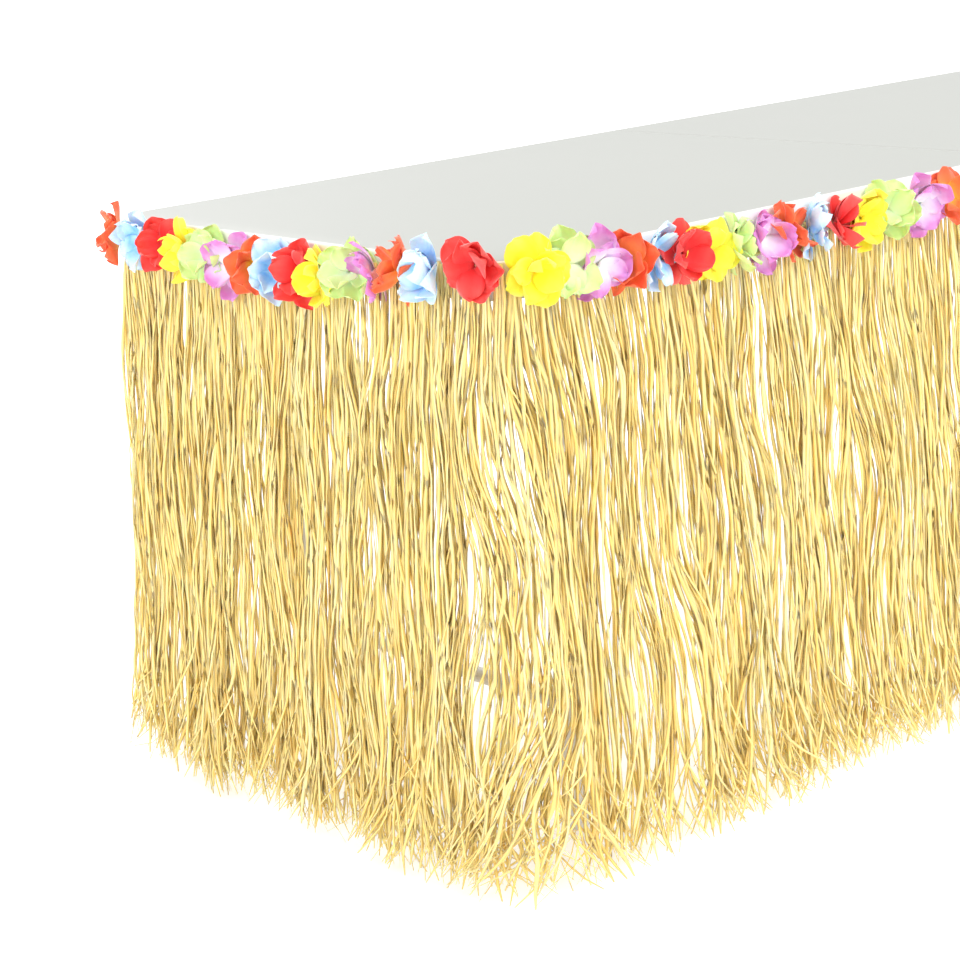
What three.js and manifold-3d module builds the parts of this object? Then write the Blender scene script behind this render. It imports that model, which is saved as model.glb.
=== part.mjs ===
// A raffia table skirt with a flower heading, hung round a plain folding-size table.
// Units are millimetres, +Z is up, +X runs along the table and -Y is its dressed front.

import * as THREE from 'three';
import { mergeVertices } from 'three/addons/utils/BufferGeometryUtils.js';
import Module from 'manifold-3d';

const wasm = await Module();
wasm.setup();

// ---------------------------------------------------------------- driving dimensions

const JOINT_GAP = 0.3; // clear space between two pieces that touch

const TABLE = { length: 1828, width: 760, height: 740, rim: 45, corner: 50, round: 4 };
const SEAM = { width: 4, depth: 1.5 };
const LEGS = {
  inset: 170, // from the table's end to the frame's middle
  spread: 540, // between the two leg axes
  tube: 14,
  crossBar: 10,
  crossBarHeight: 160,
  foot: 17,
  footHeight: 32,
  sides: 16,
};

const SKIRT = {
  length: 2740,
  cornerStart: 40, // how far it wraps the back corner
  column: 22, // between two columns of its walls on a straight stretch
};
const TAPE = { height: 18, thickness: 2, clear: 1 };
const FRINGE = {
  clear: 1.2, // from the table's edge to the wall's inner face, at the top
  topThickness: 1.6,
  hemThickness: 8,
  flare: 42, // how far the hem stands out
  flarePower: 1.3,
  hem: 8, // lowest strand ends above the floor
  hemSpread: 30, // strand ends differ by this much
  sway: 18, // the hem is drawn this far back along the edge towards the near corner
  rows: 4,
};
const FOLDS = [
  { wave: 183, depth: 6, phase: 0.6 },
  { wave: 109, depth: 4.5, phase: 2.1 },
];

const FLOWER = { radius: 34, hub: 4, hubGap: 0.4, cup: 9, petal: 1.2, centre: 3.2, lobes: 5, perLobe: 3 };
const NOTCH = 0.62; // radius between two petals, as a share of the flower's radius
const SHOULDER_SWEEP = 0.24; // half the angle between a petal's two shoulders, in radians

// How far the heading's middle lies under the table's top, along the table's edge.
const HEADING = [
  { at: 0, drop: 18 },
  { at: 130, drop: 27 },
  { at: 290, drop: 38 },
  { at: 430, drop: 36 },
  { at: 560, drop: 22 },
  { at: 700, drop: 10 },
  { at: 790, drop: 12 },
  { at: 930, drop: 27 },
  { at: 1120, drop: 36 },
  { at: 1500, drop: 33 },
  { at: 1900, drop: 37 },
  { at: 2250, drop: 30 },
  { at: 2500, drop: 12 },
  { at: 2590, drop: 12 },
  { at: 2740, drop: 24 },
];

// Where the flowers are sewn on, as evenly spaced runs along the heading.
const FLOWER_RUNS = [
  { run: 'left end', first: 36, last: 660, count: 14 },
  { run: 'near corner', first: 730, last: 730, count: 1 },
  { run: 'near half of the front', first: 778, last: 1312, count: 13 },
  { run: 'far half and right end', first: 1370, last: 2706, count: 24 },
];

// The flowers repeat these colours in this order.
const FLOWER_COLOURS = [
  { name: 'orange', colour: 0xeb5a28 },
  { name: 'blue', colour: 0x78b9e6 },
  { name: 'red', colour: 0xe51414 },
  { name: 'yellow', colour: 0xffe800 },
  { name: 'green', colour: 0xcde696 },
  { name: 'lilac', colour: 0xd694cc },
];

const RAFFIA = { color: 0xe8c77c, roughness: 0.75, metalness: 0 };
const TAPE_CLOTH = { color: 0xe6d6a0, roughness: 0.9, metalness: 0 };
const TABLE_PLASTIC = { color: 0xe9e9e6, roughness: 0.45, metalness: 0 };
const LEG_PAINT = { color: 0xdcdcda, roughness: 0.4, metalness: 0.3 };

const group = new THREE.Group();

function addPiece(name, geometry, finish) {
  const mesh = new THREE.Mesh(geometry, new THREE.MeshStandardMaterial(finish));
  mesh.name = name;
  group.add(mesh);
  return mesh;
}

// A repeatable spread of values from 0 to 1, one for each place.
function scatter(place, kind) {
  const wave = Math.sin(place * 12.9898 + kind * 78.233) * 43758.5453;
  return wave - Math.floor(wave);
}

// ---------------------------------------------------------------- booleans

function toManifold(geometry) {
  const bare = geometry.clone();
  bare.deleteAttribute('normal');
  bare.deleteAttribute('uv');
  const merged = mergeVertices(bare, 1e-4);
  return new wasm.Manifold(
    new wasm.Mesh({
      numProp: 3,
      vertProperties: Float32Array.from(merged.attributes.position.array),
      triVerts: Uint32Array.from(merged.index.array),
    }),
  );
}

function fromManifold(solid) {
  const mesh = solid.getMesh();
  const geometry = new THREE.BufferGeometry();
  geometry.setAttribute('position', new THREE.BufferAttribute(mesh.vertProperties, 3));
  geometry.setIndex(new THREE.BufferAttribute(mesh.triVerts, 1));
  geometry.computeVertexNormals();
  return geometry;
}

// ---------------------------------------------------------------- the table

function tableTop() {
  const halfLength = TABLE.length / 2;
  const halfWidth = TABLE.width / 2;
  const inner = { x: halfLength - TABLE.corner, y: halfWidth - TABLE.corner };
  const outline = new THREE.Shape();
  outline.absarc(inner.x, inner.y, TABLE.corner, 0, Math.PI / 2);
  outline.absarc(-inner.x, inner.y, TABLE.corner, Math.PI / 2, Math.PI);
  outline.absarc(-inner.x, -inner.y, TABLE.corner, Math.PI, (Math.PI * 3) / 2);
  outline.absarc(inner.x, -inner.y, TABLE.corner, (Math.PI * 3) / 2, Math.PI * 2);
  const slab = new THREE.ExtrudeGeometry(outline, {
    depth: TABLE.rim - 2 * TABLE.round,
    curveSegments: 6,
    bevelSize: TABLE.round,
    bevelThickness: TABLE.round,
    bevelOffset: -TABLE.round,
    bevelSegments: 2,
  });
  slab.translate(0, 0, TABLE.height - TABLE.rim + TABLE.round);
  const groove = new THREE.BoxGeometry(SEAM.width, TABLE.width * 2, SEAM.depth * 2);
  groove.translate(0, 0, TABLE.height);
  return fromManifold(toManifold(slab).subtract(toManifold(groove)));
}

// A round bar between two heights or across the frame, with its middle at x, y, z.
function roundBar(radius, length, place, across) {
  const bar = new THREE.CylinderGeometry(radius, radius, length, LEGS.sides);
  if (!across) bar.rotateX(Math.PI / 2);
  bar.translate(place.x, place.y, place.z);
  return toManifold(bar);
}

// Two upright tubes with wider feet, joined by a bar under the top and one low down.
function legFrame(x) {
  const topBarHeight = TABLE.height - TABLE.rim - JOINT_GAP - LEGS.tube;
  const halfSpread = LEGS.spread / 2;
  const barLength = LEGS.spread + 2 * LEGS.tube;
  let frame = roundBar(LEGS.tube, barLength, { x, y: 0, z: topBarHeight }, true);
  frame = frame.add(roundBar(LEGS.crossBar, LEGS.spread, { x, y: 0, z: LEGS.crossBarHeight }, true));
  for (const y of [-halfSpread, halfSpread]) {
    frame = frame.add(roundBar(LEGS.tube, topBarHeight, { x, y, z: topBarHeight / 2 }, false));
    frame = frame.add(roundBar(LEGS.foot, LEGS.footHeight, { x, y, z: LEGS.footHeight / 2 }, false));
  }
  return fromManifold(frame);
}

// ---------------------------------------------------------------- the skirt's line

const QUARTER_TURN = (Math.PI / 2) * TABLE.corner;
const END_RUN = TABLE.width - 2 * TABLE.corner;
const FRONT_RUN = TABLE.length - 2 * TABLE.corner;
const RETURN_RUN = SKIRT.length - SKIRT.cornerStart - END_RUN - FRONT_RUN - 2 * QUARTER_TURN;

// The table's edge as the skirt follows it: round the left end, the front and the right end.
const STRETCHES = [
  { stretch: 'back left corner', length: SKIRT.cornerStart, round: true },
  { stretch: 'left end', length: END_RUN, round: false },
  { stretch: 'near left corner', length: QUARTER_TURN, round: true },
  { stretch: 'front', length: FRONT_RUN, round: false },
  { stretch: 'near right corner', length: QUARTER_TURN, round: true },
  { stretch: 'right end', length: RETURN_RUN, round: false },
];
const NEAR_CORNER_START = SKIRT.cornerStart + END_RUN;
const FRONT_START = NEAR_CORNER_START + QUARTER_TURN;
const FRONT_END = FRONT_START + FRONT_RUN;

// The point at a distance along the edge, moved outwards, and the way that faces out there.
function edgeAt(distance, outwards) {
  const startTurn = SKIRT.cornerStart / TABLE.corner;
  const centre = { x: -TABLE.length / 2 + TABLE.corner, y: TABLE.width / 2 - TABLE.corner };
  let heading = -Math.PI / 2 - startTurn;
  let x = centre.x + TABLE.corner * Math.sin(heading);
  let y = centre.y - TABLE.corner * Math.cos(heading);
  let left = distance;
  const last = STRETCHES.length - 1;
  for (const [index, stretch] of STRETCHES.entries()) {
    const run = index === last ? left : Math.min(left, stretch.length);
    if (stretch.round) {
      const turned = heading + run / TABLE.corner;
      x += TABLE.corner * (Math.sin(turned) - Math.sin(heading));
      y += TABLE.corner * (Math.cos(heading) - Math.cos(turned));
      heading = turned;
    } else {
      x += run * Math.cos(heading);
      y += run * Math.sin(heading);
    }
    left -= run;
    if (left <= 0) break;
  }
  const facing = heading - Math.PI / 2;
  return {
    x: x + outwards * Math.cos(facing),
    y: y + outwards * Math.sin(facing),
    facing,
  };
}

function headingDrop(distance) {
  const next = HEADING.findIndex((row) => row.at >= distance);
  if (next <= 0) return HEADING[next === 0 ? 0 : HEADING.length - 1].drop;
  const before = HEADING[next - 1];
  const after = HEADING[next];
  const share = (distance - before.at) / (after.at - before.at);
  const eased = (1 - Math.cos(Math.PI * share)) / 2;
  return before.drop + (after.drop - before.drop) * eased;
}

// Evenly spaced stations from one distance to another, closer together round a corner.
function stations(from, to) {
  const marks = [];
  let start = 0;
  for (const stretch of STRETCHES) {
    const low = Math.max(from, start);
    const high = Math.min(to, start + stretch.length);
    start += stretch.length;
    if (high <= low) continue;
    const pitch = stretch.round ? QUARTER_TURN / 6 : SKIRT.column;
    const count = Math.max(1, Math.round((high - low) / pitch));
    for (let i = 0; i < count; i += 1) marks.push(low + ((high - low) * i) / count);
  }
  marks.push(to);
  return marks;
}

// A closed wall over columns and rows. side is 1 on its outer face and -1 on its inner face.
function wall(columns, rows, pointAt) {
  const positions = [];
  const index = [];
  const wide = columns.length;
  const faceSize = wide * (rows + 1);
  for (const side of [1, -1]) {
    for (let row = 0; row <= rows; row += 1) {
      for (let column = 0; column < wide; column += 1) {
        const point = pointAt(columns[column], row / rows, side, column);
        positions.push(point.x, point.y, point.z);
      }
    }
  }
  const at = (side, row, column) => (side > 0 ? 0 : faceSize) + row * wide + column;
  const quad = (a, b, c, d) => index.push(a, b, c, a, c, d);
  for (let row = 0; row < rows; row += 1) {
    for (let column = 0; column < wide - 1; column += 1) {
      quad(at(1, row, column), at(1, row + 1, column), at(1, row + 1, column + 1), at(1, row, column + 1));
      quad(at(-1, row, column), at(-1, row, column + 1), at(-1, row + 1, column + 1), at(-1, row + 1, column));
    }
  }
  for (let column = 0; column < wide - 1; column += 1) {
    quad(at(1, 0, column), at(1, 0, column + 1), at(-1, 0, column + 1), at(-1, 0, column));
    quad(at(1, rows, column), at(-1, rows, column), at(-1, rows, column + 1), at(1, rows, column + 1));
  }
  const end = wide - 1;
  for (let row = 0; row < rows; row += 1) {
    quad(at(1, row, 0), at(-1, row, 0), at(-1, row + 1, 0), at(1, row + 1, 0));
    quad(at(1, row, end), at(1, row + 1, end), at(-1, row + 1, end), at(-1, row, end));
  }
  const geometry = new THREE.BufferGeometry();
  geometry.setAttribute('position', new THREE.Float32BufferAttribute(positions, 3));
  geometry.setIndex(index);
  geometry.computeVertexNormals();
  return geometry;
}

// ---------------------------------------------------------------- heading tape and fringe

function headingTape() {
  const pointAt = (distance, down, side) => {
    const outwards = TAPE.clear + (side > 0 ? TAPE.thickness : 0);
    const { x, y } = edgeAt(distance, outwards);
    const middle = TABLE.height - headingDrop(distance);
    return { x, y, z: middle + TAPE.height * (0.5 - down) };
  };
  return wall(stations(0, SKIRT.length), 1, pointAt);
}

function foldDepth(distance) {
  return FOLDS.reduce(
    (sum, fold) => sum + fold.depth * Math.sin((2 * Math.PI * distance) / fold.wave + fold.phase),
    0,
  );
}

// The hem leans towards the near left corner from both sides, and not at all at the corner.
function hemSway(distance) {
  const corner = (NEAR_CORNER_START + FRONT_START) / 2;
  const lean = Math.min(1, Math.abs(distance - corner) / (4 * QUARTER_TURN));
  const nearEnd = Math.min(1, Math.min(distance, SKIRT.length - distance) / (2 * QUARTER_TURN));
  return -Math.sign(distance - corner) * FRINGE.sway * lean * nearEnd;
}

// The strands hang as one uneven layer that folds, thickens and flares towards its hem.
function fringe(from, to) {
  const pointAt = (distance, down, side, column) => {
    const top = TABLE.height - headingDrop(distance) - TAPE.height / 2 - 2 * JOINT_GAP;
    const hem = FRINGE.hem + FRINGE.hemSpread * scatter(column + from, 1);
    const thickness = FRINGE.topThickness + (FRINGE.hemThickness - FRINGE.topThickness) * down;
    const flare = FRINGE.flare * down ** FRINGE.flarePower;
    const folds = foldDepth(distance) * down;
    const outwards = FRINGE.clear + flare + folds + (side > 0 ? thickness : 0);
    const { x, y } = edgeAt(distance + hemSway(distance) * down, Math.max(outwards, FRINGE.clear));
    return { x, y, z: top + (hem - top) * down };
  };
  return wall(stations(from, to), FRINGE.rows, pointAt);
}

// ---------------------------------------------------------------- flowers

// One five-petalled cup: +X along the heading, +Y up, +Z outwards, its hub's back at z = 0.
function flowerGeometry(halfWidthLeft, halfWidthRight, spin) {
  const count = FLOWER.lobes * FLOWER.perLobe;
  const rim = [];
  for (let i = 0; i < count; i += 1) {
    const lobe = Math.floor(i / FLOWER.perLobe);
    const part = i % FLOWER.perLobe;
    const lobeTurn = (2 * Math.PI) / FLOWER.lobes;
    const middle = lobe * lobeTurn + lobeTurn / 2 + spin;
    const angle = part === 0 ? middle - lobeTurn / 2 : middle + (part - 1.5) * 2 * SHOULDER_SWEEP;
    const radius = FLOWER.radius * (part === 0 ? NOTCH : 1);
    const across = Math.cos(angle);
    const squeeze = (across < 0 ? halfWidthLeft : halfWidthRight) / FLOWER.radius;
    rim.push({ x: radius * across * Math.min(1, squeeze), y: radius * Math.sin(angle), angle });
  }
  const rings = [
    rim.map(({ angle }) => [FLOWER.hub * Math.cos(angle), FLOWER.hub * Math.sin(angle), 0]),
    rim.map(({ x, y }) => [x, y, FLOWER.cup]),
    rim.map(({ x, y }) => [x, y, FLOWER.cup + FLOWER.petal]),
  ];
  const positions = [0, 0, 0, 0, 0, FLOWER.centre, ...rings.flat(2)];
  const index = [];
  const at = (ring, i) => 2 + ring * count + (i % count);
  for (let i = 0; i < count; i += 1) {
    index.push(0, at(0, i + 1), at(0, i));
    index.push(1, at(2, i), at(2, i + 1));
    for (const ring of [0, 1]) {
      index.push(at(ring, i), at(ring, i + 1), at(ring + 1, i + 1));
      index.push(at(ring, i), at(ring + 1, i + 1), at(ring + 1, i));
    }
  }
  const geometry = new THREE.BufferGeometry();
  geometry.setAttribute('position', new THREE.Float32BufferAttribute(positions, 3));
  geometry.setIndex(index);
  geometry.computeVertexNormals();
  return geometry;
}

function flowerPlaces() {
  return FLOWER_RUNS.flatMap(({ first, last, count }) =>
    Array.from({ length: count }, (_, i) => first + ((last - first) * i) / Math.max(1, count - 1)),
  );
}

function addFlowers() {
  const places = flowerPlaces();
  places.forEach((place, i) => {
    const before = i === 0 ? 2 * FLOWER.radius : place - places[i - 1];
    const after = i === places.length - 1 ? 2 * FLOWER.radius : places[i + 1] - place;
    const spin = (2 * Math.PI * scatter(i, 2)) / FLOWER.lobes;
    const geometry = flowerGeometry((before - 1) / 2, (after - 1) / 2, spin);
    const { name, colour } = FLOWER_COLOURS[i % FLOWER_COLOURS.length];
    const number = String(i + 1).padStart(2, '0');
    const flower = addPiece(`flower_${number}_${name}`, geometry, {
      color: colour,
      roughness: 0.6,
      metalness: 0,
    });
    const stand = TAPE.clear + TAPE.thickness + FLOWER.hubGap;
    const { x, y, facing } = edgeAt(place, stand);
    flower.position.set(x, y, TABLE.height - headingDrop(place));
    flower.rotation.set(Math.PI / 2, facing + Math.PI / 2, 0);
  });
}

// ---------------------------------------------------------------- assembly

addPiece('table_top', tableTop(), TABLE_PLASTIC);
const frameAt = TABLE.length / 2 - LEGS.inset;
addPiece('leg_frame_left', legFrame(-frameAt), LEG_PAINT);
addPiece('leg_frame_right', legFrame(frameAt), LEG_PAINT);

addPiece('heading_tape', headingTape(), TAPE_CLOTH);
const halfGap = JOINT_GAP / 2;
addPiece('fringe_left_end', fringe(0, NEAR_CORNER_START - halfGap), RAFFIA);
addPiece('fringe_near_corner', fringe(NEAR_CORNER_START + halfGap, FRONT_START - halfGap), RAFFIA);
addPiece('fringe_front', fringe(FRONT_START + halfGap, FRONT_END - halfGap), RAFFIA);
addPiece('fringe_right_return', fringe(FRONT_END + halfGap, SKIRT.length), RAFFIA);

addFlowers();

// The part stands on the middle of its box.
group.updateMatrixWorld(true);
const box = new THREE.Box3().setFromObject(group, true);
const middle = box.getCenter(new THREE.Vector3());
group.position.set(-middle.x, -middle.y, -box.min.z);
group.updateMatrixWorld(true);

export default group;
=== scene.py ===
"""A raffia table skirt with a silk flower heading, dressed round a plain white table."""

import math

import bpy
import numpy as np
from bpy.props import FloatProperty, FloatVectorProperty, IntProperty, PointerProperty
from mathutils import Matrix, Vector


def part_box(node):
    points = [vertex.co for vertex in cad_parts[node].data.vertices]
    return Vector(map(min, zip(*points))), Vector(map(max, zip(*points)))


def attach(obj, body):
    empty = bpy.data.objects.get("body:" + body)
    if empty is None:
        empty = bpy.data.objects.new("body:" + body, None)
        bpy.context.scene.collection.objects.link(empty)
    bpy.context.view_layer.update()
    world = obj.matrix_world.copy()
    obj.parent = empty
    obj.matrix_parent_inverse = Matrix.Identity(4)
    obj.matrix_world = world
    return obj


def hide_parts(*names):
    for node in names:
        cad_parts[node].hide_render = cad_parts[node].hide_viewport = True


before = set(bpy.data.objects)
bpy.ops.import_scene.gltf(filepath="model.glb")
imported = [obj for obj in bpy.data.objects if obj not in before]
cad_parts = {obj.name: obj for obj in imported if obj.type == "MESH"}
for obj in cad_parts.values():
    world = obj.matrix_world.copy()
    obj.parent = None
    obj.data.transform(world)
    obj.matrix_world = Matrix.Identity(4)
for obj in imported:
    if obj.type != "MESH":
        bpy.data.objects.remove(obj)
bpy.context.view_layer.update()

bl_info = {
    "name": "Grass Table Skirt",
    "version": (1, 0, 0),
    "blender": (4, 5, 0),
    "location": "View3D > Sidebar > Table Skirt",
    "description": "Builds a raffia table skirt with silk flowers on a plain table",
    "category": "Object",
}

TOP_LOW, TOP_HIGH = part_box("table_top")
TOP_MIDDLE = (TOP_LOW + TOP_HIGH) / 2
TOP_SIZE = TOP_HIGH - TOP_LOW
FLOWER_NODES = sorted(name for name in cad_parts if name.startswith("flower_"))

NEAR_CORNER_FLOWER = "flower_15"

# The groove across the middle of the top, in metres.
SEAM = {"width": 0.004, "depth": 0.0015}

# The leg frames' tube radii and heights, in metres.
LEGS = {"tube": 0.014, "cross_bar": 0.010, "foot": 0.017, "cross_height": 0.160, "foot_height": 0.032}

# Gathers of the whole fringe, which deepen towards the hem.
FOLDS = (
    {"wave": 0.183, "depth": 0.006, "phase": 0.6},
    {"wave": 0.109, "depth": 0.0045, "phase": 2.1},
)

# Smooth random surfaces that part the ribbons into locks: the cell along the tape, the cells down the
# drop, and how far each one moves a ribbon.
DRIFTS = {
    "drift": {"cell": 0.135, "rows": 3, "size": 0.014},
    "locks": {"cell": 0.036, "rows": 5, "size": 0.015},
    "wisps": {"cell": 0.014, "rows": 8, "size": 0.004},
    "bulge": {"cell": 0.06, "rows": 3, "size": 0.005},
    "hem": {"cell": 0.05, "rows": 1, "size": 0.014},
}

# Each ribbon's own wander: the spread of a wave's size, and its fewest and most turns down the drop.
SIDEWAYS_WAVES = (
    {"size": 0.006, "slow": 0.6, "quick": 1.6},
    {"size": 0.0022, "slow": 2.0, "quick": 4.5},
    {"size": 0.0007, "slow": 6.0, "quick": 11.0},
)
OUTWARD_WAVES = (
    {"size": 0.003, "slow": 0.8, "quick": 2.0},
    {"size": 0.0012, "slow": 3.0, "quick": 6.0},
)

# Ribbons are sewn on in bunches of this width, and stand closer together at the end and the corner.
BUNCH = 0.016
CLOSENESS = {"raffia_left_end": 1.3, "raffia_near_corner": 1.7}

# How far the frayed ends stray, and how high over the floor the ribbons are cut.
FRAY = {"sideways": 0.034, "outwards": 0.014, "lean": 0.006}
HEM = {"low": 0.012, "ragged": 0.03, "short": 0.10}
FLOOR_GAP = 0.003

# A ribbon starts to be held back at the reach, and never gets past the reach and the slack.
FRONT_LIMIT = {"reach": 0.066, "slack": 0.018}
BACK_LIMIT = {"reach": 0.040, "slack": 0.012}

# A petal's outline and relief, as shares of its length.
PETAL = {"widest": 0.62, "half_width": 0.46, "droop": 0.10, "ripple": 0.06, "roll": 0.035}

# How far out from the table's edge a flower node's middle is taken to be, and the nearest that a petal
# comes to the edge.
FLOWER_NODE_OUT = 0.009
PETAL_CLEAR = 0.0055

# How far the heading's middle lies under the table's top, along the table's edge, in metres.
HEADING = (
    {"at": 0.0, "drop": 0.018},
    {"at": 0.13, "drop": 0.027},
    {"at": 0.29, "drop": 0.038},
    {"at": 0.43, "drop": 0.036},
    {"at": 0.56, "drop": 0.022},
    {"at": 0.70, "drop": 0.010},
    {"at": 0.79, "drop": 0.012},
    {"at": 0.93, "drop": 0.027},
    {"at": 1.12, "drop": 0.036},
    {"at": 1.50, "drop": 0.033},
    {"at": 1.90, "drop": 0.037},
    {"at": 2.25, "drop": 0.030},
    {"at": 2.50, "drop": 0.012},
    {"at": 2.59, "drop": 0.012},
    {"at": 2.74, "drop": 0.024},
)

# Petal tints from the flower's heart to the petal's rim.
PETAL_TINTS = {
    "orange": {"heart": (1.0, 0.62, 0.02), "blade": (0.95, 0.20, 0.03), "rim": (0.90, 0.12, 0.03)},
    "blue": {"heart": (0.62, 0.80, 0.93), "blade": (0.20, 0.50, 0.85), "rim": (0.62, 0.82, 0.95)},
    # The red is one dye, the blade; its darker heart is painted shade where the petals overlap, and its
    # lighter rim is painted light shining through the thin silk.
    "red": {"heart": (0.62, 0.004, 0.006), "blade": (0.86, 0.010, 0.012), "rim": (0.90, 0.05, 0.04)},
    "yellow": {"heart": (1.0, 0.72, 0.0), "blade": (1.0, 0.84, 0.004), "rim": (1.0, 0.90, 0.06)},
    "green": {"heart": (0.90, 0.94, 0.70), "blade": (0.72, 0.88, 0.42), "rim": (0.60, 0.82, 0.30)},
    "lilac": {"heart": (0.96, 0.90, 0.86), "blade": (0.86, 0.62, 0.84), "rim": (0.66, 0.24, 0.60)},
}


# ---------------------------------------------------------------- settings


class SkirtSettings(bpy.types.PropertyGroup):
    """Sizes of the skirt"""

    length: FloatProperty(name="Length", description="Skirt's cut length", default=2.74, unit="LENGTH")
    corner_start: FloatProperty(
        name="Corner wrap", description="How far it wraps the back corner", default=0.04, unit="LENGTH"
    )
    corner: FloatProperty(
        name="Corner radius", description="Radius of the table's corners", default=0.05, unit="LENGTH"
    )
    tape_height: FloatProperty(
        name="Tape height", description="Height of the heading tape", default=0.018, unit="LENGTH"
    )
    tape_clear: FloatProperty(
        name="Tape gap", description="Gap between the table and the tape", default=0.001, unit="LENGTH"
    )
    tape_thickness: FloatProperty(
        name="Tape thickness", description="Thickness of the heading tape", default=0.002, unit="LENGTH"
    )
    strands_per_metre: IntProperty(
        name="Strands per metre", description="Raffia ribbons sewn to each metre of tape", default=740
    )
    rings: IntProperty(name="Rings", description="Cross-sections along one ribbon", default=40)
    ribbon: FloatProperty(
        name="Ribbon width", description="Middling width of a raffia ribbon", default=0.0043, unit="LENGTH"
    )
    flare: FloatProperty(
        name="Flare", description="How far the hem stands out", default=0.042, unit="LENGTH"
    )
    shade: FloatVectorProperty(
        name="Shade", description="Deepest raffia colour", default=(0.86, 0.56, 0.15), subtype="COLOR"
    )
    straw: FloatVectorProperty(
        name="Straw", description="Common raffia colour", default=(1.0, 0.76, 0.27), subtype="COLOR"
    )
    pale: FloatVectorProperty(
        name="Pale", description="Lightest raffia colour", default=(1.0, 0.88, 0.46), subtype="COLOR"
    )


class FlowerSettings(bpy.types.PropertyGroup):
    """Sizes of the silk flowers"""

    radius: FloatProperty(
        name="Petal reach", description="From the heart to a petal's tip", default=0.044, unit="LENGTH"
    )
    thickness: FloatProperty(
        name="Silk thickness", description="Thickness of the petals", default=0.0004, unit="LENGTH"
    )
    stand: FloatProperty(
        name="Stand", description="From the table's edge to the flower's heart", default=0.013, unit="LENGTH"
    )


class TableSettings(bpy.types.PropertyGroup):
    """Finish of the table"""

    # The top's grey is painted shade: the table is white plastic all over, and its flat top is painted darker
    # than the rim for the light that falls on it.
    shaded_top_colour: FloatVectorProperty(
        name="Top", description="Moulded plastic of the top", default=(0.45, 0.46, 0.43), subtype="COLOR"
    )
    rim_colour: FloatVectorProperty(
        name="Rim", description="Moulded plastic of the rim", default=(0.92, 0.92, 0.90), subtype="COLOR"
    )
    paint_colour: FloatVectorProperty(
        name="Leg paint", description="Powder coat of the legs", default=(0.72, 0.72, 0.71), subtype="COLOR"
    )
    edge_round: FloatProperty(
        name="Edge rounding", description="Rounding of the top's edges", default=0.004, unit="LENGTH"
    )


class StageSettings(bpy.types.PropertyGroup):
    """Camera and light"""

    camera_from_middle: FloatVectorProperty(
        name="Camera", description="Camera from the middle of the top, on the floor", subtype="TRANSLATION",
        default=(-2.516, -2.255, 1.159),
    )
    yaw: FloatProperty(name="Yaw", description="Camera's turn", default=math.radians(39.846), unit="ROTATION")
    pitch: FloatProperty(
        name="Pitch", description="Camera's tilt down", default=math.radians(14.929), unit="ROTATION"
    )
    roll: FloatProperty(
        name="Roll", description="Camera's roll", default=math.radians(-3.888), unit="ROTATION"
    )
    lens: FloatProperty(name="Lens", description="Focal length in millimetres", default=86.83)
    sky: FloatProperty(name="Sky", description="Strength of the white surround", default=0.95)


# ---------------------------------------------------------------- shared helpers


def mesh_object(name, vertices, faces):
    """A mesh object with its place in its mesh."""
    mesh = bpy.data.meshes.new(name)
    mesh.from_pydata(vertices, [], faces)
    mesh.update()
    piece = bpy.data.objects.new(name, mesh)
    bpy.context.scene.collection.objects.link(piece)
    return piece


def tube_mesh(name, points):
    """Many closed tubes in one mesh: points is tubes x rings x sides x 3."""
    tubes, rings, sides, _ = points.shape
    base = (np.arange(tubes) * rings * sides)[:, None, None]
    ring = (np.arange(rings - 1) * sides)[None, :, None]
    side = np.arange(sides)[None, None, :]
    after = (side + 1) % sides
    walls = np.stack(
        [base + ring + side, base + ring + after, base + ring + sides + after, base + ring + sides + side], -1
    ).reshape(-1, 4)
    first = base[:, 0, 0][:, None] + np.arange(sides)[None, ::-1]
    last = base[:, 0, 0][:, None] + (rings - 1) * sides + np.arange(sides)[None, :]
    ends = np.concatenate([first, last])
    loops = np.concatenate([walls.ravel(), ends.ravel()])
    starts = np.concatenate([np.arange(len(walls)) * 4, len(walls) * 4 + np.arange(len(ends)) * sides])
    mesh = bpy.data.meshes.new(name)
    mesh.vertices.add(tubes * rings * sides)
    mesh.vertices.foreach_set("co", points.reshape(-1).astype(np.float32))
    mesh.loops.add(len(loops))
    mesh.loops.foreach_set("vertex_index", loops.astype(np.int32))
    mesh.polygons.add(len(starts))
    mesh.polygons.foreach_set("loop_start", starts.astype(np.int32))
    mesh.update(calc_edges=True)
    mesh.validate()
    piece = bpy.data.objects.new(name, mesh)
    bpy.context.scene.collection.objects.link(piece)
    return piece, loops


def add_values(piece, name, values):
    """A number for each vertex that a material can read."""
    layer = piece.data.attributes.new(name, "FLOAT", "POINT")
    layer.data.foreach_set("value", np.asarray(values, np.float32).ravel())


def declare(piece, slot, *nodes):
    """Rides the piece on the one body and hides the CAD nodes it stands for; the slot, the finish's name, is
    not used.
    """
    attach(piece, "root")
    if nodes:
        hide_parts(*nodes)


def apply_modifiers(piece):
    """Applies all of a piece's modifiers."""
    bpy.ops.object.select_all(action="DESELECT")
    bpy.context.view_layer.objects.active = piece
    piece.select_set(True)
    for modifier in list(piece.modifiers):
        bpy.ops.object.modifier_apply(modifier=modifier.name)


def settle(piece):
    """Moves the piece's place into its mesh."""
    bpy.ops.object.select_all(action="DESELECT")
    bpy.context.view_layer.objects.active = piece
    piece.select_set(True)
    bpy.ops.object.transform_apply(location=True, rotation=True, scale=True)


def block(context, place, size):
    """A plain block with its place in its mesh."""
    bpy.ops.object.select_all(action="DESELECT")
    bpy.ops.mesh.primitive_cube_add(size=1, location=place, scale=size)
    piece = context.active_object
    settle(piece)
    return piece


# ---------------------------------------------------------------- the skirt's line


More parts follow.
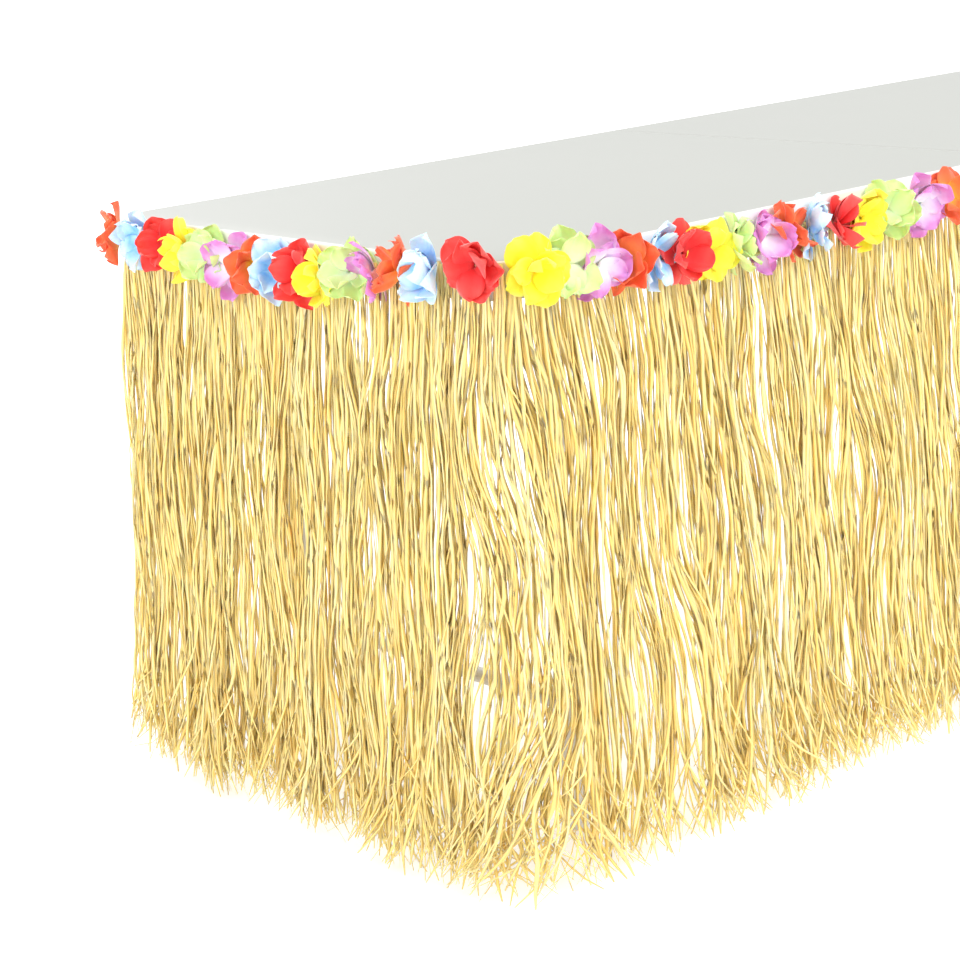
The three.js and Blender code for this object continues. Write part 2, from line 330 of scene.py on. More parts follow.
def stretches(skirt):
    """The table's edge as the skirt follows it: start distance, length, round or straight."""
    quarter = math.pi / 2 * skirt.corner
    end = TOP_SIZE.y - 2 * skirt.corner
    front = TOP_SIZE.x - 2 * skirt.corner
    rest = skirt.length - skirt.corner_start - end - front - 2 * quarter
    lengths = (skirt.corner_start, end, quarter, front, quarter, rest)
    heading = -math.pi / 2 - skirt.corner_start / skirt.corner
    x = TOP_LOW.x + skirt.corner + skirt.corner * math.sin(heading)
    y = TOP_HIGH.y - skirt.corner - skirt.corner * math.cos(heading)
    start = 0.0
    rows = []
    for number, length in enumerate(lengths):
        is_round = number % 2 == 0
        rows.append({"start": start, "length": length, "round": is_round, "x": x, "y": y, "heading": heading})
        if is_round:
            turned = heading + length / skirt.corner
            x += skirt.corner * (math.sin(turned) - math.sin(heading))
            y += skirt.corner * (math.cos(heading) - math.cos(turned))
            heading = turned
        else:
            x += length * math.cos(heading)
            y += length * math.sin(heading)
        start += length
    return rows


def edge_at(skirt, distance, outwards):
    """Points at distances along the edge, moved outwards, and the direction facing out there."""
    rows = stretches(skirt)
    starts = np.array([row["start"] for row in rows])
    index = np.clip(np.searchsorted(starts, distance, side="right") - 1, 0, len(rows) - 1)
    run = distance - starts[index]
    is_round = np.array([row["round"] for row in rows])[index]
    x = np.array([row["x"] for row in rows])[index]
    y = np.array([row["y"] for row in rows])[index]
    heading = np.array([row["heading"] for row in rows])[index]
    turned = np.where(is_round, heading + run / skirt.corner, heading)
    x = x + np.where(is_round, skirt.corner * (np.sin(turned) - np.sin(heading)), run * np.cos(heading))
    y = y + np.where(is_round, skirt.corner * (np.cos(heading) - np.cos(turned)), run * np.sin(heading))
    facing = turned - math.pi / 2
    return x + outwards * np.cos(facing), y + outwards * np.sin(facing), facing


def heading_drop(distance):
    """How far the heading's middle lies under the table's top."""
    marks = np.array([row["at"] for row in HEADING])
    drops = np.array([row["drop"] for row in HEADING])
    index = np.clip(np.searchsorted(marks, distance) - 1, 0, len(marks) - 2)
    share = np.clip((distance - marks[index]) / (marks[index + 1] - marks[index]), 0, 1)
    eased = (1 - np.cos(math.pi * share)) / 2
    return drops[index] + (drops[index + 1] - drops[index]) * eased


def smooth_field(generator, length, cell, rows):
    """A smooth random surface over distance and height, from -1 to 1, as a function."""
    columns = int(length / cell) + 4
    grid = generator.uniform(-1, 1, (columns, rows + 3))

    def value(distance, down):
        """The surface at a distance along the tape and a share of the drop."""
        across = np.clip(distance / cell + 1, 0, columns - 1.001)
        along = np.clip(down, 0, 1) * rows + 0.5
        i, j = across.astype(int), along.astype(int)
        u, v = across - i, along - j
        u, v = u * u * (3 - 2 * u), v * v * (3 - 2 * v)
        low = grid[i, j] * (1 - u) + grid[i + 1, j] * u
        high = grid[i, j + 1] * (1 - u) + grid[i + 1, j + 1] * u
        return low * (1 - v) + high * v

    return value


def wander(generator, t, waves):
    """Each ribbon's sum of waves of random size, turns and start."""
    total = np.zeros(t.shape)
    for wave in waves:
        turns = generator.uniform(wave["slow"], wave["quick"], (len(t), 1))
        phase = generator.uniform(0, 2 * math.pi, (len(t), 1))
        strength = generator.normal(0, wave["size"], (len(t), 1))
        total += strength * np.sin(2 * math.pi * turns * t + phase)
    return total


def freed(t):
    """How free a ribbon is of its stitches, from none at the tape to wholly a fifth of the way down."""
    return np.clip(t / 0.2, 0, 1) ** 1.2


def hold_back(values, limit, slack):
    """Values eased off past the limit, so that none gets past the limit and the slack."""
    return np.where(values > limit, limit + slack * np.tanh((values - limit) / slack), values)


def edge_facing(point, skirt):
    """The way out of the table's edge nearest a point."""
    inner_x = TOP_SIZE.x / 2 - skirt.corner
    inner_y = TOP_SIZE.y / 2 - skirt.corner
    away = Vector((point.x - TOP_MIDDLE.x, point.y - TOP_MIDDLE.y))
    core = Vector((max(-inner_x, min(inner_x, away.x)), max(-inner_y, min(inner_y, away.y))))
    step = away - core
    return math.atan2(step.y, step.x)


# ---------------------------------------------------------------- materials


def new_material(name):
    """A material with a shader and an output, ready for nodes."""
    material = bpy.data.materials.new(name)
    material.use_nodes = True
    tree = material.node_tree
    return material, tree.nodes, tree.links, tree.nodes["Principled BSDF"]


def noise(nodes, links, source, scale, detail=3.0, stretch=None):
    """A noise texture on a coordinate, stretched if asked."""
    texture = nodes.new("ShaderNodeTexNoise")
    texture.inputs["Scale"].default_value = scale
    texture.inputs["Detail"].default_value = detail
    if stretch:
        mapping = nodes.new("ShaderNodeMapping")
        mapping.inputs["Scale"].default_value = stretch
        links.new(source, mapping.inputs["Vector"])
        source = mapping.outputs["Vector"]
    links.new(source, texture.inputs["Vector"])
    return texture.outputs["Fac"]


def bump(nodes, links, shader, height, strength, distance):
    """Fine relief from a height."""
    node = nodes.new("ShaderNodeBump")
    node.inputs["Strength"].default_value = strength
    node.inputs["Distance"].default_value = distance
    links.new(height, node.inputs["Height"])
    links.new(node.outputs["Normal"], shader.inputs["Normal"])


def ramp(nodes, links, factor, stops):
    """A colour ramp from (place, colour) stops."""
    node = nodes.new("ShaderNodeValToRGB")
    elements = node.color_ramp.elements
    while len(elements) < len(stops):
        elements.new(0.5)
    for element, (place, colour) in zip(elements, stops):
        element.position = place
        element.color = (*colour, 1.0)
    links.new(factor, node.inputs["Fac"])
    return node.outputs["Color"]


def raffia_material(skirt):
    """Crinkled raffia: straw tones by ribbon, with fibres along it."""
    material, nodes, links, shader = new_material("raffia")
    tone = nodes.new("ShaderNodeAttribute")
    tone.attribute_name = "tone"
    fibres = nodes.new("ShaderNodeUVMap")
    fibres.uv_map = "ribbon"
    streaks = noise(nodes, links, fibres.outputs["UV"], 1.0, 4.0, (900.0, 14.0, 1.0))
    mixed = nodes.new("ShaderNodeMath")
    mixed.operation = "MULTIPLY_ADD"
    links.new(streaks, mixed.inputs[0])
    mixed.inputs[1].default_value = 0.45
    links.new(tone.outputs["Fac"], mixed.inputs[2])
    stops = ((0.1, skirt.shade), (0.55, skirt.straw), (1.05, skirt.pale))
    colour = ramp(nodes, links, mixed.outputs[0], [(place, tuple(tint)) for place, tint in stops])
    links.new(colour, shader.inputs["Base Color"])
    shader.inputs["Roughness"].default_value = 0.55
    shader.inputs["Subsurface Weight"].default_value = 0.35
    shader.inputs["Subsurface Radius"].default_value = (1.0, 0.7, 0.35)
    shader.inputs["Subsurface Scale"].default_value = 0.004
    shader.inputs["Sheen Weight"].default_value = 0.15
    bump(nodes, links, shader, streaks, 0.5, 0.0006)
    return material


def petal_material(name, tints):
    """Thin silk petals, tinted from heart to rim (dye, but in the red a painted shade at the heart where
    petals overlap and painted light at the rim where light shines through), with a fine weave and soft
    creases.
    """
    material, nodes, links, shader = new_material(f"petal_{name}")
    reach = nodes.new("ShaderNodeAttribute")
    reach.attribute_name = "reach"
    coordinates = nodes.new("ShaderNodeTexCoord")
    cloud = noise(nodes, links, coordinates.outputs["Object"], 90.0, 2.0)
    spread = nodes.new("ShaderNodeMath")
    spread.operation = "MULTIPLY_ADD"
    links.new(cloud, spread.inputs[0])
    spread.inputs[1].default_value = 0.35
    links.new(reach.outputs["Fac"], spread.inputs[2])
    stops = ((0.22, tints["heart"]), (0.62, tints["blade"]), (1.12, tints["rim"]))
    colour = ramp(nodes, links, spread.outputs[0], stops)
    links.new(colour, shader.inputs["Base Color"])
    shader.inputs["Roughness"].default_value = 0.6
    shader.inputs["Subsurface Weight"].default_value = 0.3
    shader.inputs["Subsurface Scale"].default_value = 0.003
    shader.inputs["Sheen Weight"].default_value = 0.3
    threads = nodes.new("ShaderNodeTexWave")
    threads.inputs["Scale"].default_value = 420.0
    threads.inputs["Distortion"].default_value = 0.6
    links.new(coordinates.outputs["Object"], threads.inputs["Vector"])
    bump(nodes, links, shader, threads.outputs["Fac"], 0.15, 0.0003)
    return material


def plastic_material(name, top, rim):
    """Satin moulded plastic, finely grained on the flat top, and greyer there with painted shade on the white
    plastic.
    """
    material, nodes, links, shader = new_material(name)
    coordinates = nodes.new("ShaderNodeTexCoord")
    split = nodes.new("ShaderNodeSeparateXYZ")
    links.new(coordinates.outputs["Object"], split.inputs[0])
    # Picks out the flat top, which takes the painted shade grey; the rest of the plastic keeps the white rim
    # colour.
    shaded_top_mask = nodes.new("ShaderNodeMapRange")
    shaded_top_mask.inputs["From Min"].default_value = TOP_HIGH.z - 0.0012
    shaded_top_mask.inputs["From Max"].default_value = TOP_HIGH.z - 0.0002
    links.new(split.outputs["Z"], shaded_top_mask.inputs["Value"])
    blotches = noise(nodes, links, coordinates.outputs["Object"], 2.2, 2.0)
    tone = nodes.new("ShaderNodeMix")
    tone.data_type = "RGBA"
    tone.inputs["A"].default_value = (*(0.96 * c for c in top), 1)
    tone.inputs["B"].default_value = (*top, 1)
    links.new(blotches, tone.inputs["Factor"])
    colour = nodes.new("ShaderNodeMix")
    colour.data_type = "RGBA"
    colour.inputs["A"].default_value = (*rim, 1)
    links.new(tone.outputs["Result"], colour.inputs["B"])
    links.new(shaded_top_mask.outputs["Result"], colour.inputs["Factor"])
    links.new(colour.outputs["Result"], shader.inputs["Base Color"])
    shader.inputs["Roughness"].default_value = 0.42
    grain = noise(nodes, links, coordinates.outputs["Object"], 900.0, 2.0)
    bump(nodes, links, shader, grain, 0.12, 0.0004)
    return material


def paint_material(colour):
    """Powder coat with a faint orange-peel grain."""
    material, nodes, links, shader = new_material("leg_paint")
    coordinates = nodes.new("ShaderNodeTexCoord")
    peel = noise(nodes, links, coordinates.outputs["Object"], 600.0, 2.0)
    tint = ramp(nodes, links, peel, ((0.3, tuple(0.94 * c for c in colour)), (0.7, tuple(colour))))
    links.new(tint, shader.inputs["Base Color"])
    shader.inputs["Roughness"].default_value = 0.38
    bump(nodes, links, shader, peel, 0.1, 0.0003)
    return material


def tape_material():
    """Cream woven tape."""
    material, nodes, links, shader = new_material("heading_tape")
    coordinates = nodes.new("ShaderNodeTexCoord")
    weave = noise(nodes, links, coordinates.outputs["Object"], 1500.0, 2.0)
    tint = ramp(nodes, links, weave, ((0.3, (0.74, 0.64, 0.42)), (0.7, (0.86, 0.78, 0.58))))
    links.new(tint, shader.inputs["Base Color"])
    shader.inputs["Roughness"].default_value = 0.9
    bump(nodes, links, shader, weave, 0.4, 0.0004)
    return material


# ---------------------------------------------------------------- pieces


class SKIRT_OT_table_top(bpy.types.Operator):
    """Builds the moulded table top with its rounded rim and middle seam"""

    bl_idname = "skirt.table_top"
    bl_label = "Table Top"

    def execute(self, context):
        table = context.scene.table_settings
        top = block(context, TOP_MIDDLE, TOP_SIZE)
        top.name = top.data.name = "table_top_shell"
        corners = top.modifiers.new("corners", "BEVEL")
        corners.limit_method = "WEIGHT"
        corners.width = context.scene.skirt_settings.corner
        corners.segments = 12
        edges = top.modifiers.new("edges", "BEVEL")
        edges.limit_method = "ANGLE"
        edges.angle_limit = math.radians(50)
        edges.width = table.edge_round
        edges.segments = 4
        self.weigh_uprights(top)
        groove_size = (SEAM["width"], TOP_SIZE.y * 1.1, 2 * SEAM["depth"])
        groove = block(context, (TOP_MIDDLE.x, TOP_MIDDLE.y, TOP_HIGH.z), groove_size)
        cut = top.modifiers.new("seam", "BOOLEAN")
        cut.operation = "DIFFERENCE"
        cut.object = groove
        apply_modifiers(top)
        bpy.data.objects.remove(groove, do_unlink=True)
        top.data.materials.append(plastic_material("table_plastic", table.shaded_top_colour, table.rim_colour))
        bpy.ops.object.select_all(action="DESELECT")
        top.select_set(True)
        bpy.ops.object.shade_smooth_by_angle(angle=math.radians(28))
        declare(top, "table_plastic", "table_top")
        return {"FINISHED"}

    def weigh_uprights(self, top):
        """Marks the four upright edges for the corner bevel."""
        weights = top.data.attributes.new("bevel_weight_edge", "FLOAT", "EDGE")
        for edge in top.data.edges:
            a, b = (top.data.vertices[i].co for i in edge.vertices)
            weights.data[edge.index].value = 1.0 if abs(a.z - b.z) > TOP_SIZE.z / 2 else 0.0


class SKIRT_OT_leg_frames(bpy.types.Operator):
    """Builds the two welded tube frames with their plastic feet"""

    bl_idname = "skirt.leg_frames"
    bl_label = "Leg Frames"

    def execute(self, context):
        material = paint_material(context.scene.table_settings.paint_colour)
        for node in ("leg_frame_left", "leg_frame_right"):
            self.frame(context, node, material)
        return {"FINISHED"}

    def frame(self, context, node, material):
        """One frame: two uprights, a top bar, a cross bar and two feet."""
        low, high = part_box(node)
        middle = (low + high) / 2
        tube, foot = LEGS["tube"], LEGS["foot"]
        bar_height = high.z - tube
        legs = (low.y + foot, high.y - foot)
        span = legs[1] - legs[0]
        bars = [(tube, span + 2 * tube, (middle.x, middle.y, bar_height), True)]
        bars.append((LEGS["cross_bar"], span, (middle.x, middle.y, LEGS["cross_height"]), True))
        for y in legs:
            bars.append((tube, bar_height, (middle.x, y, bar_height / 2), False))
            bars.append((foot, LEGS["foot_height"], (middle.x, y, LEGS["foot_height"] / 2), False))
        pieces = []
        for radius, depth, place, across in bars:
            turn = (math.pi / 2, 0, 0) if across else (0, 0, 0)
            bpy.ops.object.select_all(action="DESELECT")
            bpy.ops.mesh.primitive_cylinder_add(
                vertices=40, radius=radius, depth=depth, location=place, rotation=turn
            )
            bar = context.active_object
            settle(bar)
            bevel = bar.modifiers.new("edge", "BEVEL")
            bevel.width = 0.0015
            bevel.segments = 2
            apply_modifiers(bar)
            pieces.append(bar)
        body = pieces[0]
        for other in pieces[1:]:
            union = body.modifiers.new("weld", "BOOLEAN")
            union.operation = "UNION"
            union.object = other
            apply_modifiers(body)
            bpy.data.objects.remove(other, do_unlink=True)
        body.name = body.data.name = f"{node}_tubes"
        body.data.materials.clear()
        body.data.materials.append(material)
        bpy.ops.object.select_all(action="DESELECT")
        body.select_set(True)
        bpy.ops.object.shade_smooth_by_angle(angle=math.radians(30))
        declare(body, "leg_paint", node)


class SKIRT_OT_heading_tape(bpy.types.Operator):
    """Builds the woven tape that the raffia and the flowers are sewn to"""

    bl_idname = "skirt.heading_tape"
    bl_label = "Heading Tape"

    def execute(self, context):
        skirt = context.scene.skirt_settings
        distance = np.linspace(0, skirt.length, 420)
        rows = np.linspace(0.5, -0.5, 4)
        x, y, _ = edge_at(skirt, distance, skirt.tape_clear)
        middle = TOP_HIGH.z - heading_drop(distance)
        wide = len(distance)
        points = [(x[i], y[i], middle[i] + skirt.tape_height * row) for row in rows for i in range(wide)]
        faces = [
            (r * wide + i, (r + 1) * wide + i, (r + 1) * wide + i + 1, r * wide + i + 1)
            for r in range(len(rows) - 1)
            for i in range(wide - 1)
        ]
        tape = mesh_object("heading_tape_cloth", points, faces)
        wall = tape.modifiers.new("wall", "SOLIDIFY")
        wall.thickness = skirt.tape_thickness
        wall.offset = 1
        apply_modifiers(tape)
        tape.data.materials.append(tape_material())
        declare(tape, "heading_tape", "heading_tape")
        return {"FINISHED"}


class SKIRT_OT_raffia(bpy.types.Operator):
    """Builds the raffia ribbons that hang from the tape, one piece for each stretch"""

    bl_idname = "skirt.raffia"
    bl_label = "Raffia Fringe"

    def execute(self, context):
        skirt = context.scene.skirt_settings
        material = raffia_material(skirt)
        marks = [row["start"] for row in stretches(skirt)]
        front_half = (marks[3] + marks[4]) / 2
        runs = (
            ("raffia_left_end", 0.0, marks[2], "fringe_left_end"),
            ("raffia_near_corner", marks[2], marks[3], "fringe_near_corner"),
            ("raffia_front_near", marks[3], front_half, "fringe_front"),
            ("raffia_front_far", front_half, marks[4], "fringe_front"),
            ("raffia_right_return", marks[4], skirt.length, "fringe_right_return"),
        )
        generator = np.random.default_rng(7)
        fields = {
            name: smooth_field(generator, skirt.length, drift["cell"], drift["rows"])
            for name, drift in DRIFTS.items()
        }
        for name, start, end, node in runs:
            piece = self.strands(skirt, name, start, end, fields, generator)
            piece.data.materials.append(material)
            declare(piece, "raffia", node)
        return {"FINISHED"}

    def strands(self, skirt, name, start, end, fields, generator):
        """The ribbons of one stretch as one mesh of closed, creased tubes."""
        count = int((end - start) * skirt.strands_per_metre * CLOSENESS.get(name, 1.0))
        t = np.broadcast_to(np.linspace(0, 1, skirt.rings)[None, :] ** 0.92, (count, skirt.rings))
        root = np.sort(generator.uniform(start, end, count))[:, None]
        distance = self.along_tape(fields, generator, root, t)
        layer = generator.uniform(0, 1, (count, 1))
        outwards = self.away_from_table(skirt, fields, generator, root, t, layer)
        fray_start = generator.uniform(0.78, 0.93, (count, 1))
        fray = np.clip((t - fray_start) / (1 - fray_start), 0, 1) ** 1.6
        distance = distance + fray * generator.normal(0, FRAY["sideways"], (count, 1))
        outwards = outwards + fray * generator.normal(FRAY["lean"], FRAY["outwards"], (count, 1))
        height = self.heights(skirt, fields, generator, root, t)
        outwards = outwards + np.clip(FLOOR_GAP - height, 0, None)
        height = np.maximum(height, FLOOR_GAP + 0.002 * layer)
        outwards = np.maximum(outwards, self.tape_face(skirt))
        outwards = hold_back(outwards, FRONT_LIMIT["reach"], FRONT_LIMIT["slack"])
        distance = np.clip(distance, -0.03, skirt.length + 0.03)
        x, y, facing = edge_at(skirt, distance, outwards)
        y = hold_back(y, TOP_HIGH.y + BACK_LIMIT["reach"], BACK_LIMIT["slack"])
        points = self.sections(skirt, generator, np.stack([x, y, height], -1), facing, t)
        piece, loops = tube_mesh(name, points)
        # Ribbons of the inner layer, nearer the table, are painted a little darker as painted shade; the rest
        # of the tone differs at random from ribbon to ribbon.
        tone = generator.uniform(-0.05, 0.55, (count, 1)) + 0.10 * (layer - 0.5)
        tone = tone + generator.normal(0, 0.05, t.shape)
        add_values(piece, "tone", np.repeat(tone[..., None], 3, 2))
        self.add_fibre_map(piece, generator, t, loops)
        return piece

    def tape_face(self, skirt):
        """The nearest a ribbon comes to the table's edge, just in front of the tape."""
        return skirt.tape_clear + skirt.tape_thickness + 0.0006

    def along_tape(self, fields, generator, root, t):
        """Where the ribbons run along the tape: bunched at the stitches, then parted into locks."""
        gathered = (np.floor(root / BUNCH) + 0.5) * BUNCH
        opened = np.clip(t / 0.12, 0, 1)
        distance = gathered + (root - gathered) * (0.45 + 0.55 * opened)
        follows = generator.uniform(0, 1, root.shape) > 0.06
        at = np.broadcast_to(root, t.shape)
        parted = sum(DRIFTS[name]["size"] * fields[name](at, t) for name in ("drift", "locks", "wisps"))
        distance = distance + freed(t) * follows * parted
        return distance + freed(t) * wander(generator, t, SIDEWAYS_WAVES)

    def away_from_table(self, skirt, fields, generator, root, t, layer):
        """How far the ribbons stand out from the table's edge, by their layer, the flare and the folds."""
        at = np.broadcast_to(root, t.shape)
        folds = sum(
            fold["depth"] * np.sin(2 * math.pi * at / fold["wave"] + fold["phase"]) for fold in FOLDS
        )
        outwards = self.tape_face(skirt) + 0.0025 * layer
        outwards = outwards + skirt.flare * t**1.3 + folds * t + freed(t) * (0.009 * layer - 0.002)
        outwards = outwards + freed(t) * DRIFTS["bulge"]["size"] * fields["bulge"](at, t)
        return outwards + freed(t) * wander(generator, t, OUTWARD_WAVES)

    def heights(self, skirt, fields, generator, root, t):
        """Heights down each ribbon, from its stitch to its cut end; a few ribbons are shorter."""
        sewn = skirt.tape_height * generator.uniform(0.15, 0.5, root.shape)
        top = TOP_HIGH.z - heading_drop(root) + sewn
        short = generator.uniform(0, 1, root.shape) ** 6
        hem = HEM["low"] + DRIFTS["hem"]["size"] * fields["hem"](root, np.zeros_like(root))
        hem = hem + HEM["ragged"] * generator.uniform(0, 1, root.shape) ** 2 + HEM["short"] * short
        return top + (hem - top) * t

    def sections(self, skirt, generator, centre, facing, t):
        """The three corners of each ribbon's creased section, twisted as it goes down."""
        one_each = (len(t), 1)
        out = np.stack([np.cos(facing), np.sin(facing), np.zeros_like(facing)], -1)
        along = np.stack([-np.sin(facing), np.cos(facing), np.zeros_like(facing)], -1)
        start = generator.normal(0, 0.5, one_each)
        swing = generator.normal(0, 0.9, one_each)
        turns = generator.uniform(0.5, 3.0, one_each)
        phase = generator.uniform(0, 6.3, one_each)
        twist = start + swing * np.sin(2 * math.pi * turns * t + phase)
        twist = (twist + generator.normal(0, 0.22, t.shape))[..., None]
        across = np.cos(twist) * along + np.sin(twist) * out
        crease = -np.sin(twist) * along + np.cos(twist) * out
        width = skirt.ribbon * generator.uniform(0.6, 1.4, one_each) * generator.uniform(0.8, 1.15, t.shape)
        width = (width * (1 - 0.6 * np.clip((t - 0.96) / 0.04, 0, 1)))[..., None]
        ridge = width * generator.uniform(0.12, 0.42, t.shape)[..., None]
        half = across * width / 2
        points = np.stack([centre - half, centre + half, centre + crease * ridge], 2)
        points[..., 2] = np.maximum(points[..., 2], FLOOR_GAP / 2)
        return points

    def add_fibre_map(self, piece, generator, t, loops):
        """A map across and along each ribbon, in metres, moved to a place of its own."""
        corners = np.array([0, 0.0036, 0.0018])
        across = np.broadcast_to(generator.uniform(0, 5, (len(t), 1, 1)) + corners, (*t.shape, 3))
        drop = (t * 0.72)[..., None] + generator.uniform(0, 9, (len(t), 1, 1))
        down = np.broadcast_to(drop, (*t.shape, 3))
        places = np.stack([across.ravel(), down.ravel()], -1)[loops]
        fibres = piece.data.uv_layers.new(name="ribbon")
        fibres.data.foreach_set("uv", places.ravel().astype(np.float32))


class SKIRT_OT_flowers(bpy.types.Operator):
    """Builds the silk flowers, each of two whorls of crumpled petals"""

    bl_idname = "skirt.flowers"
    bl_label = "Silk Flowers"

    def execute(self, context):
        materials = {name: petal_material(name, tints) for name, tints in PETAL_TINTS.items()}
        for number, node in enumerate(FLOWER_NODES):
            colour = node.split("_")[2]
            flower = self.flower(context, node, number)
            flower.data.materials.append(materials[colour])
            declare(flower, f"petal_{colour}", node)
        return {"FINISHED"}

    def petal(self, generator, reach, tilt, turn):
        """Points of one cupped, crumpled petal as rows from heart to tip, +Z facing out."""
        v = np.linspace(0.04, 1, 11)[:, None]
        u = np.linspace(-1, 1, 9)[None, :]
        widest = PETAL["widest"]
        root_side = 1 - ((widest - v) / widest) ** 2
        tip_side = 1 - 0.8 * ((v - widest) / (1 - widest)) ** 2
        profile = np.where(v < widest, root_side, tip_side)
        half = PETAL["half_width"] * reach * np.sqrt(np.clip(profile, 0.02, 1))
        x = half * u * (1 - 0.12 * generator.uniform() * v)
        y = reach * v - PETAL["droop"] * reach * u**2 * v**2
        cup = generator.uniform(-0.10, 0.38)
        curl = generator.uniform(-0.35, 0.35)
        waves = generator.uniform(1.0, 2.2)
        phase = generator.uniform(0, 6.3)
        z = reach * (cup * u**2 * v + curl * v**2.2)
        z = z + reach * PETAL["ripple"] * v * np.sin(math.pi * waves * u + phase)
        z = z + reach * PETAL["roll"] * np.sin(5.5 * v + phase)
        rise = y * math.sin(tilt) + z * math.cos(tilt)
        y = y * math.cos(tilt) - z * math.sin(tilt)
        return np.stack(
            [x * math.cos(turn) - y * math.sin(turn), x * math.sin(turn) + y * math.cos(turn), rise], -1
        )

    def petals(self, generator, radius):
        """Two whorls of five petals: their points, their faces and each point's reach from the heart."""
        points, faces, reaches = [], [], []
        start = generator.uniform(0, 2 * math.pi / 5)
        whorls = ((radius, 0.16, 0.0), (radius * 0.86, 0.55, math.pi / 5))
        for level, (reach, lean, offset) in enumerate(whorls):
            for index in range(5):
                turn = start + offset + index * 2 * math.pi / 5 + generator.normal(0, 0.10)
                tilt = lean + generator.normal(0, 0.22)
                rows = self.petal(generator, reach * generator.uniform(0.9, 1.05), tilt, turn)
                rows[..., 2] += 0.004 * level
                first = len(points)
                tall, wide = rows.shape[:2]
                points.extend(map(tuple, rows.reshape(-1, 3)))
                reaches.extend(np.repeat(np.linspace(0.04, 1, tall), wide))
                for row in range(tall - 1):
                    for column in range(wide - 1):
                        corner = first + row * wide + column
                        faces.append((corner, corner + 1, corner + 1 + wide, corner + wide))
        return np.array(points), faces, reaches

    def flower(self, context, node, number):
        """One flower at its node's place, turned and tilted a little and held in front of the tape."""
        settings = context.scene.flower_settings
        generator = np.random.default_rng(100 + number)
        points, faces, reaches = self.petals(generator, settings.radius)
        low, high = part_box(node)
        heart = (low + high) / 2
        facing = edge_facing(heart, context.scene.skirt_settings)
        turn = generator.normal(0, 0.42)
        nod = generator.normal(-0.05, 0.22)
        if node.startswith(NEAR_CORNER_FLOWER):
            turn, nod = 0.05, 0.0
            heart = heart + Vector((0, 0, 0.008))
        out = Vector((math.cos(facing), math.sin(facing), 0))
        place = heart + out * (settings.stand - FLOWER_NODE_OUT)
        base = Matrix(((-out.y, 0, out.x), (out.x, 0, out.y), (0, 1, 0)))
        points = points @ np.array(base @ Matrix.Rotation(turn, 3, "Y") @ Matrix.Rotation(nod, 3, "X")).T
        behind = np.clip(PETAL_CLEAR - settings.stand - points @ np.array(out), 0, None)
        points = points + behind[:, None] * np.array(out)[None, :] + np.array(place)[None, :]
        flower = mesh_object(f"silk_{node}", [tuple(point) for point in points], faces)
        add_values(flower, "reach", reaches)
        wall = flower.modifiers.new("silk", "SOLIDIFY")
        wall.thickness = settings.thickness
        apply_modifiers(flower)
        bpy.ops.object.shade_smooth()
        return flower


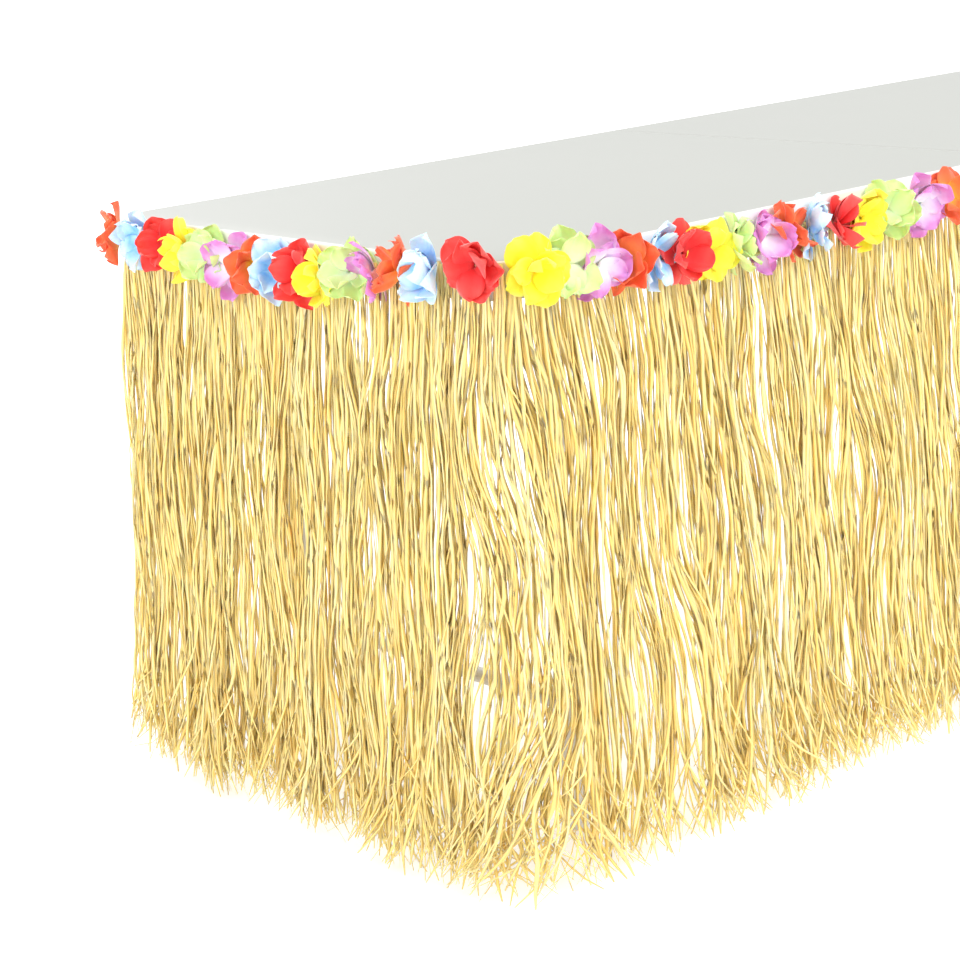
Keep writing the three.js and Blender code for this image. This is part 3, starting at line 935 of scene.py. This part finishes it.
class SKIRT_OT_stage(bpy.types.Operator):
    """Adds the floor, the white surround, the lights and the camera"""

    bl_idname = "skirt.stage"
    bl_label = "Stage"

    def execute(self, context):
        stage = context.scene.stage_settings
        bpy.ops.object.select_all(action="DESELECT")
        bpy.ops.mesh.primitive_plane_add(size=120, location=(0, 0, 0))
        floor = context.active_object
        floor.name = "floor"
        material, _, _, shader = new_material("floor")
        shader.inputs["Base Color"].default_value = (0.93, 0.93, 0.92, 1)
        shader.inputs["Roughness"].default_value = 0.9
        shader.inputs["Specular IOR Level"].default_value = 0.1
        shader.inputs["Emission Color"].default_value = (1, 1, 1, 1)
        shader.inputs["Emission Strength"].default_value = 0.3
        floor.data.materials.append(material)
        world = bpy.data.worlds.new("surround")
        world.use_nodes = True
        background = world.node_tree.nodes["Background"]
        background.inputs["Color"].default_value = (1, 1, 1, 1)
        background.inputs["Strength"].default_value = stage.sky
        context.scene.world = world
        context.scene.view_settings.view_transform = "Standard"
        lights = (
            ("key", (0.8, -2.6, 2.6), 1.5),
            ("fill", (-3.4, -0.6, 1.8), 1.1),
            ("back", (0.6, 2.6, 1.5), 0.9),
        )
        for name, place, power in lights:
            data = bpy.data.lights.new(name, "SUN")
            data.angle = math.radians(35)
            data.energy = power
            light = bpy.data.objects.new(name, data)
            light.location = place
            light.rotation_euler = (-Vector(place)).to_track_quat("-Z", "Y").to_euler()
            context.scene.collection.objects.link(light)
        self.camera(context, stage)
        return {"FINISHED"}

    def camera(self, context, stage):
        """The camera, turned by yaw, pitch and roll."""
        data = bpy.data.cameras.new("camera")
        data.lens = stage.lens
        data.sensor_width = 36
        data.clip_end = 300
        camera = bpy.data.objects.new("camera", data)
        forward = Vector((
            math.sin(stage.yaw) * math.cos(stage.pitch),
            math.cos(stage.yaw) * math.cos(stage.pitch),
            -math.sin(stage.pitch),
        ))
        level = Vector((math.cos(stage.yaw), -math.sin(stage.yaw), 0))
        up = level.cross(forward)
        right = level * math.cos(stage.roll) + up * math.sin(stage.roll)
        upright = -level * math.sin(stage.roll) + up * math.cos(stage.roll)
        turn = Matrix((right, upright, -forward)).transposed().to_4x4()
        offset = Vector((TOP_MIDDLE.x, TOP_MIDDLE.y, 0))
        camera.matrix_world = Matrix.Translation(Vector(stage.camera_from_middle) + offset) @ turn
        context.scene.collection.objects.link(camera)
        context.scene.camera = camera


class SKIRT_PT_panel(bpy.types.Panel):
    """Lists the builders in the 3D view's sidebar"""

    bl_label = "Table Skirt"
    bl_idname = "SKIRT_PT_panel"
    bl_space_type = "VIEW_3D"
    bl_region_type = "UI"
    bl_category = "Table Skirt"

    def draw(self, context):
        column = self.layout.column()
        for builder in BUILDERS:
            column.operator(builder.bl_idname)
        for group in ("skirt_settings", "flower_settings", "table_settings", "stage_settings"):
            settings = getattr(context.scene, group)
            for name in settings.__annotations__:
                column.prop(settings, name)


GROUPS = (
    (SkirtSettings, "skirt_settings"),
    (FlowerSettings, "flower_settings"),
    (TableSettings, "table_settings"),
    (StageSettings, "stage_settings"),
)
BUILDERS = (
    SKIRT_OT_stage,
    SKIRT_OT_table_top,
    SKIRT_OT_leg_frames,
    SKIRT_OT_heading_tape,
    SKIRT_OT_raffia,
    SKIRT_OT_flowers,
)


def register():
    """Registers the settings, the builders and the panel."""
    for group, name in GROUPS:
        bpy.utils.register_class(group)
        setattr(bpy.types.Scene, name, PointerProperty(type=group))
    for builder in (*BUILDERS, SKIRT_PT_panel):
        bpy.utils.register_class(builder)


def unregister():
    """Takes everything back out."""
    for builder in (SKIRT_PT_panel, *reversed(BUILDERS)):
        bpy.utils.unregister_class(builder)
    for group, name in reversed(GROUPS):
        delattr(bpy.types.Scene, name)
        bpy.utils.unregister_class(group)


def main():
    """Builds the whole part."""
    register()
    bpy.ops.skirt.stage()
    bpy.ops.skirt.table_top()
    bpy.ops.skirt.leg_frames()
    bpy.ops.skirt.heading_tape()
    bpy.ops.skirt.raffia()
    bpy.ops.skirt.flowers()


if __name__ == "__main__":
    main()
